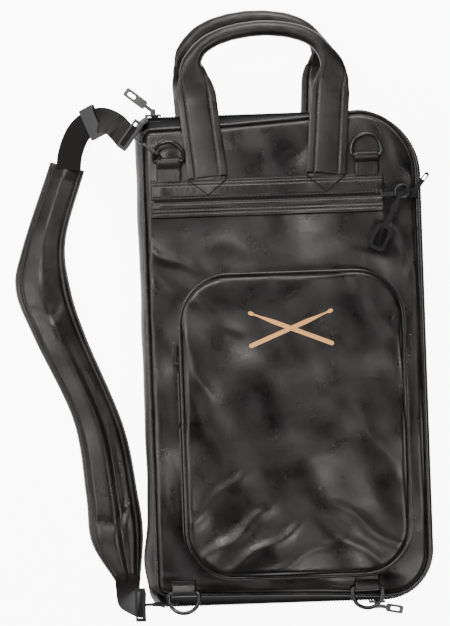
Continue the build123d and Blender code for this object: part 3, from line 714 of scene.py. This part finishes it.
tab_rows = []
tab_grids = []
for x, bar, way in ((-107.5, 195, 1), (84.5, 195, 1), (-107, -224, -1), (70.8, -224, -1)):
    reach = 20.0 if way > 0 else 12.0
    run = np.linspace(0, 1, 40)[:, None]
    tab_y = bar - way * reach + run * way * (reach + 3.6)
    hump = 60.8 - 3.2 * np.clip((np.abs(tab_y - bar) - 1.5) / 6, 0, 1) ** 1.5
    hump = hump - 4.5 * np.clip((way * (tab_y - bar) - 1.5) / 2.2, 0, 1) ** 2
    u = np.linspace(-1, 1, 24)[None]
    tab_x = x + u * (12.0 + 0.4 * np.sin(tab_y * 0.8))
    tab_z = np.broadcast_to(hump, (40, 24)) - 2.4 * np.clip((np.abs(u) - 0.9) / 0.1, 0, 1) ** 2
    grid = np.stack([tab_x, np.broadcast_to(tab_y, (40, 24)), tab_z], -1)
    tab_grids.append(grid if way > 0 else grid[::-1])
    for side in (-6.5, 6.5):
        row_y = np.linspace(bar - way * (reach - 2), bar - way * 6, 12)
        row_z = 60.9 - 3.2 * np.clip((np.abs(row_y - bar) - 1.5) / 6, 0, 1) ** 1.5
        tab_rows.append(np.stack([np.full(12, x + side), row_y, row_z], -1))
tab_quads, tab_tris = surface_faces(40, 24)
tabs = put_mesh("ring_tabs", np.concatenate([g.reshape(-1, 3) for g in tab_grids]),
                np.concatenate([tab_quads + 960 * n for n in range(4)]), tab_tris, band_leather, "front_case",
                "leather", "dring_tabs")
thick = tabs.modifiers.new("thickness", "SOLIDIFY")
thick.thickness = 0.0014
thick.offset = -1
put_stitches("tab_stitches", tab_rows, "front_case", pitch=2.8, shape=(2.2, 0.7, 0.6))

# ---- front pocket ----
# A box-sided pocket with rounded corners. Its face is edged with piping, a zip runs over
# the top inside the wall, and a second piping edges the lower wall.

POCKET = (6.0, -63.0)
POCKET_FOLDS = (
    (-84, -190, -30, -150, 1.5, 6), (-62, -200, -2, -166, 1.2, 5), (-20, -202, 40, -176, 1.1, 5),
    (98, -182, 50, -146, 1.3, 6), (84, -198, 30, -160, 1.0, 5), (-92, -150, -56, -118, 1.2, 6),
    (-84, 54, -50, 30, 0.9, 6), (80, 62, 100, 20, 1.0, 6), (-94, -40, -70, -90, 0.9, 7),
    (70, -60, 102, -110, 1.0, 7), (-40, -110, 30, -96, 0.8, 10), (-96, 12, -80, -24, 0.9, 5),
)
pocket_line, pocket_out = rounded_outline(106, 144.5, (45,) * 4, 360, POCKET)


def pocket_height(x, y):
    """Height of the pocket's face: a soft crown, sagging to the bottom, with its puckers."""
    rel_x, rel_y = (x - POCKET[0]) / 106, (y - POCKET[1]) / 144.5
    crown = 2.6 * np.clip(1 - rel_x ** 4, 0, 1) * np.clip(1 - rel_y ** 4, 0, 1)
    return 74.4 + crown + waves(x + 40, y, 105, 5.5) + waves(x, y, 45, 1.0) + folds(x, y, POCKET_FOLDS)


def pocket_face_grid():
    """Upper wall, roll over the edge and rings to the middle."""
    count = len(pocket_line)
    rows = []
    for inset, z in ((0.4, 67.4), (0.1, 68.6), (0.0, 70.6), (0.4, 72.2)):
        rows.append(np.concatenate([pocket_line - pocket_out * inset, np.full((count, 1), z)], axis=1))
    for angle in np.linspace(0.2, math.pi / 2, 6):
        flat = pocket_line - pocket_out * (0.4 + 5 * (1 - math.cos(angle)))
        top = pocket_height(flat[:, 0], flat[:, 1])
        rows.append(np.stack([flat[:, 0], flat[:, 1], 71.5 + (top - 71.5) * math.sin(angle)], -1))
    rim = rows[-1][:, :2] - POCKET
    for share in np.linspace(1, 0.01, 80)[1:]:
        flat = rim * share + POCKET
        rows.append(np.stack([flat[:, 0], flat[:, 1], pocket_height(flat[:, 0], flat[:, 1])], -1))
    return np.array(rows)


pocket_face = put_surface("pocket_face", pocket_face_grid(), panel_leather, None, "leather", "pocket_panel",
                          "pocket_flap", closed=True, tips=(False, True))
thick = pocket_face.modifiers.new("thickness", "SOLIDIFY")
thick.thickness = 0.0018
thick.offset = -1
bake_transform(pocket_face)
cord_loop = round_cord(pocket_line, pocket_out, -1.5, 71.6, 1.7)
pocket_cord = put_surface("pocket_cord", np.concatenate([cord_loop, cord_loop[:1]]), piping_leather, None,
                          "piping", "pocket_piping", "flap_piping", closed=True)
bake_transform(pocket_cord)

wall_profile = ((0.0, -0.9, -0.8, 0.0, 2.2, 2.2, 2.2, 2.2), (54.0, 57.5, 62.0, 65.8, 65.8, 62.0, 58.0, 54.2))
pocket_side = strip_round(pocket_line, pocket_out, *wall_profile)
pocket_side = np.concatenate([pocket_side, pocket_side[:1]])[:, ::-1]
put_surface("pocket_side", pocket_side, panel_leather, "front_case", "leather", "pocket_wall", closed=True)
lower = pocket_line[:, 1] < -7
order = np.argsort(np.where(lower, 0, 1), kind="stable")[:lower.sum()]
gusset_cord = round_cord(pocket_line[order], pocket_out[order], -4.6, 58.4, 1.6)
put_surface("gusset_cord", gusset_cord, piping_leather, "front_case", "piping", "gusset_piping", closed=True,
            tips=(True, True))
lip = strip_round(pocket_line[order], pocket_out[order], (-0.5, -4.0, -4.6, -0.5), (57.2, 57.6, 58.2, 58.6))
put_surface("gusset_lip", lip[:, ::-1], piping_leather, "front_case", "piping", closed=True,
            tips=(True, True))

upper = pocket_line[:, 1] > 5
upper_line, upper_out = pocket_line[upper], pocket_out[upper]
for name, z, body, node in (("pocket_coil", 66.35, "front_case", "pocket_zip"),
                            ("flap_coil", 67.5, "pocket_flap", "flap_zip")):
    line = np.concatenate([upper_line - upper_out * 0.6, np.full((len(upper_line), 1), z)], axis=1)
    at, along = evenly(line, 1.6)
    put_beads(name, at, np.cross(along, [0, 0, 1.0]), np.tile([0, 0, 1.0], (len(at), 1)), (3.0, 1.3, 0.9),
              coil_nylon, body, "zip_coil", node)

# ---- printed emblem ----
# A plain pair of crossed sticks, screen printed in tan on the pocket's flap.

ink = bpy.data.materials.new("tan print")
ink.use_nodes = True
add, join = nodes_of(ink)
print_shader = ink.node_tree.nodes["Principled BSDF"]
place = add("TexCoord")
speckle = add("TexNoise", Scale=900.0, Detail=4.0)
join(place, "Object", speckle, "Vector")
tan = add("ValToRGB")
tan.color_ramp.elements[0].color = (0.6, 0.27, 0.075, 1)
tan.color_ramp.elements[1].color = (0.9, 0.46, 0.14, 1)
join(speckle, "Fac", tan, "Fac")
join(tan, "Color", print_shader, "Base Color")
print_shader.inputs["Roughness"].default_value = 0.55
film = add("Bump", Strength=0.3, Distance=0.0002)
join(speckle, "Fac", film, "Height")
join(film, "Normal", print_shader, "Normal")


def stick(angle, mirror):
    """Drum stick seen flat: long shaft, shoulder, neck and oval tip, as a half width that
    changes along its length."""
    run = np.linspace(0, 1, 90)
    half = 2.1 * np.sqrt(np.clip(run / 0.02, 0, 1))
    half = half * (1 - 0.62 * between(run, 0.66, 0.93))
    tip_shape = 1.9 * np.sqrt(np.clip(1 - ((run - 0.967) / 0.033) ** 2, 0, 1))
    half = np.maximum(half * (run < 0.96), tip_shape * (run > 0.93))
    x = (run - 0.5) * 88
    across = np.linspace(-1, 1, 9)[None] * np.maximum(half, 0.02)[:, None]
    flat_x = x[:, None] * math.cos(angle) - across * math.sin(angle)
    flat_y = x[:, None] * math.sin(angle) + across * math.cos(angle)
    flat_x = flat_x * mirror + 5.0
    flat_y = flat_y + 29.5
    return np.stack([flat_x, flat_y, pocket_height(flat_x, flat_y) + (0.16 if mirror > 0 else 0.22)], -1)


for name, mirror in (("emblem_stick_left", 1), ("emblem_stick_right", -1)):
    put_surface(name, stick(math.radians(22), mirror), ink, "pocket_flap", "leather", flip=mirror > 0)

# ---- lining, stick sleeves and inner pocket ----
# Black nylon lines both halves. The rear half holds two tiers of sewn sleeves for sticks;
# the front half has one flat pocket.

lining_cloth = woven("black nylon lining", (0.014, 0.014, 0.016), 0.55, 4400.0, 0.4)


def lining_grid(rear=False):
    """Inside of a case half: up the tape, over the panel's lip and flat across."""
    count = 300
    line, out = rounded_outline(HALF_WIDTH, HALF_HEIGHT, CORNERS, count)
    rows = []
    side = ((4.6, 28.6), (6.2, 34.0), (8.4, 40.0), (12.4, 43.0), (12.6, 47.0), (13.5, 49.8), (15.8, 50.7))
    for inset, z in side:
        rows.append(np.concatenate([line - out * inset, np.full((count, 1), z)], axis=1))
    rim = rows[-1][:, :2]
    for share in np.linspace(1, 0.01, 40)[1:]:
        flat = rim * share
        z = 50.6 + waves(flat[:, 0], flat[:, 1], 70, 0.15)
        if rear:
            z = z - 4.8 * between(flat[:, 1], 118, 130)
        rows.append(np.concatenate([flat, z[:, None]], axis=1))
    return np.array(rows)


put_surface("front_lining", settle(lining_grid()), lining_cloth, "front_case", "lining", closed=True,
            tips=(False, True), flip=True)
put_surface("rear_lining", to_rear(lining_grid(True)), lining_cloth, "rear_case", "lining", closed=True,
            tips=(False, True))


def sleeve_sheet(low, high, mouth):
    """Sheet over four channels: across it is a row of flat-topped arches, sewn down between."""
    x = np.linspace(-116.5, 116.5, 150)[None].repeat(60, 0)
    y = np.linspace(-222, mouth, 60)[:, None].repeat(150, 1)
    arch = np.abs(np.sin((x + 116.5) / 58.25 * math.pi)) ** 0.35
    foot = between(y, -224, -205)
    z = low + 0.9 + (high - low - 1.4) * arch * (0.4 + 0.6 * foot) + waves(x, y, 40, 0.25)
    return np.stack([x, y, z], -1)


for name, low, high, mouth in (("sleeves_long", 3.4, 14.6, 75.0), ("sleeves_short", 14.6, 25.4, -25.0)):
    sleeve = put_surface(name + "_cloth", sleeve_sheet(low, high, mouth), lining_cloth, "rear_case", "lining",
                         name)
    thick = sleeve.modifiers.new("thickness", "SOLIDIFY")
    thick.thickness = 0.0008
    hem = sleeve_sheet(low, high, mouth)[-1] + [0, 0, 0.2]
    hem_up = np.tile([0, 0, 1.0], (len(hem), 1))
    binding = carried_section(hem - [0, 3, 0], hem_up, 3.0, 0.75, 5)
    put_surface(name + "_hem", binding, tape_cloth, "rear_case", "lining", closed=True, tips=(True, True))
inner_x = np.linspace(-95, 95, 80)[None].repeat(80, 0)
inner_y = np.linspace(-190, 60, 80)[:, None].repeat(80, 1)
inner_rim = np.minimum.reduce([inner_x + 95, 95 - inner_x, inner_y + 190])
inner_z = 50.4 - 7.2 * between(inner_rim, -1, 14) + waves(inner_x, inner_y, 60, 0.4)
inner_sheet = np.stack([inner_x, inner_y, inner_z], -1)
inner = put_surface("inner_pocket_cloth", inner_sheet, lining_cloth, "front_case", "lining", "inner_pocket",
                    flip=True)
thick = inner.modifiers.new("thickness", "SOLIDIFY")
thick.thickness = 0.0009
top_edge = np.stack([inner_x[-1], inner_y[-1] - 3, inner_z[-1] - 0.2], -1)
inner_binding = carried_section(top_edge, np.tile([0, 0, 1.0], (80, 1)), 3.5, 0.8, 5)
put_surface("inner_pocket_hem", inner_binding, tape_cloth, "front_case", "lining", closed=True,
            tips=(True, True))

# ---- shoulder pad ----
# A long curved pad: foam between two leathers, stitched round near its edge, with the
# raised middle creased across where the strap has been bent.

PAD_LEFT = ((-227, 203), (-258, 118), (-266, 76), (-249, 27), (-213, -56), (-203, -131), (-199, -178),
            (-176, -219))
PAD_RIGHT = ((-193, 193), (-214, 125), (-211, 76), (-197, 27), (-163, -62), (-151, -131), (-147, -172),
             (-152, -222))


def pad_grid(rows=260, columns=96):
    """Closed section between two edge curves: flat below, crowned on top, thin at the
    stitched border, with shallow creases across."""
    left, right = smooth_path(PAD_LEFT, rows), smooth_path(PAD_RIGHT, rows)
    turn = np.linspace(0, 2 * math.pi, columns, endpoint=False)
    across = 0.5 - 0.5 * np.sign(np.cos(turn)) * np.abs(np.cos(turn)) ** 0.8
    top = turn < math.pi
    edge = np.minimum(across, 1 - across)
    crown = 2.6 + 10.6 * np.sqrt(np.clip(edge / 0.5, 0, 1)) + 0.2 * np.cos(across * 4 * math.pi)
    crown = crown - 1.8 * np.exp(-((edge - 0.13) / 0.022) ** 2)
    height = np.where(top, crown, 0.6 + 1.2 * np.exp(-(edge / 0.05) ** 2))
    rim = np.exp(-(edge / 0.02) ** 2)
    height = height * (1 - rim) + 2.6 * rim
    flat = left[:, None] * (1 - across)[None, :, None] + right[:, None] * across[None, :, None]
    z = np.broadcast_to(height, (rows, columns)).copy()
    run = np.linspace(0, 1, rows)
    ends = np.sqrt(np.clip(np.minimum(run, 1 - run) / 0.03, 0, 1))
    skew = run[:, None] + 0.07 * (across[None] - 0.5) + 0.012 * np.sin(across[None] * 9)
    marks = ((0.27, 0.6, 0.02), (0.34, -0.9, 0.016), (0.37, 0.6, 0.02), (0.43, 0.5, 0.03), (0.6, -0.6, 0.04),
             (0.84, -1.0, 0.013), (0.87, 0.6, 0.02), (0.13, 0.5, 0.04))
    crease = sum(height * np.exp(-((skew - place) / width) ** 2) for place, height, width in marks)
    crease = crease - 2.6 * np.exp(-((across[None] - 0.62) / 0.07) ** 2) * between(run, 0.38, 0.55)[:, None]
    crease = crease + waves(flat[..., 0], flat[..., 1], 60, 0.8)
    z = np.where(top[None], z * (0.45 + 0.55 * ends[:, None]) + crease * between(edge, 0.12, 0.2)[None], z)
    return np.concatenate([flat, z[..., None]], axis=-1)


# The second colour is the lighter end of the painted highlight patches.
pad_leather = leather("pad leather", (0.0025, 0.0021, 0.002), (0.018, 0.0148, 0.0135), 0.33)
pad = put_surface("shoulder_pad_leather", pad_grid(), pad_leather, "strap", "pad_leather", "shoulder_pad",
                  closed=True, tips=(True, True), flip=True)

# ---- strap webbing ----
# 25 mm ribbed nylon webbing runs from the pad's top through the slide adjuster to the
# upper snap, and a short loop holds the lower one.

webbing_cloth = woven("brown black webbing", (0.008, 0.0058, 0.005), 0.85, 5200.0, 1.0)
upper_web = smooth_path([(-208.5, 194, 9), (-206, 210, 10.5), (-198, 228, 14), (-186, 238, 22),
                         (-172, 240, 33), (-160, 234, 47), (-153, 226.5, 56), (-149, 221.5, 61),
                         (-145.4, 219.4, 63.4), (-141, 217, 61.5), (-144, 219, 58.5), (-150, 223, 55)], 130)
web_way = np.gradient(upper_web, axis=0)
web_wide = np.cross([0, 0, 1.0], web_way)
web_wide[-34:] = (0.6, 0.8, 0)         # the turn round the eye lies along the eye
upper_strip = carried_section(upper_web, np.cross(web_way, web_wide), 12.3, 0.9, 6)
put_surface("upper_webbing", upper_strip, webbing_cloth, "strap", "webbing", "strap_webbing", closed=True,
            tips=(True, True))
lower_web = smooth_path([(-164, -212, 8), (-164, -224, 8.6), (-163.5, -232, 17), (-158, -233, 36),
                         (-152, -232.8, 56), (-148.7, -232.8, 63.2), (-144.8, -232.8, 61.5),
                         (-148, -232.8, 57.5)], 110)
quarter = np.linspace(0, 1, 110)[:, None] ** 0.7 * math.pi / 2
lower_wide = np.concatenate([np.cos(quarter), np.sin(quarter), np.zeros((110, 1))], axis=1)
lower_up = np.cross(np.gradient(lower_web, axis=0), lower_wide)
lower_strip = carried_section(lower_web, lower_up, 12.3, 0.9, 6)
put_surface("lower_webbing", lower_strip, webbing_cloth, "strap", "webbing", "lower_loop", closed=True,
            tips=(True, True))

# ---- metal fittings ----
# Rings and key snap are cast metal with a satin black lacquer, sliders and pulls are
# gunmetal, and the strap's hooks and adjuster are black nylon.

black_metal = nylon("black lacquer", (0.035, 0.034, 0.035), 0.24)
black_metal.node_tree.nodes["Principled BSDF"].inputs["Metallic"].default_value = 0.6
gunmetal = nylon("gunmetal", (0.055, 0.054, 0.053), 0.26)
gunmetal.node_tree.nodes["Principled BSDF"].inputs["Metallic"].default_value = 0.8
black_nylon = nylon("black moulded nylon", (0.006, 0.006, 0.0062), 0.42)
for name, node in nodes.items():
    if not node.hide_render:
        node.data.materials.clear()
        if "slider" in name or "pull" in name:
            node.data.materials.append(gunmetal)
        elif name in ("strap_adjuster", "upper_snap", "lower_snap"):
            node.data.materials.append(black_nylon)
        else:
            node.data.materials.append(black_metal)
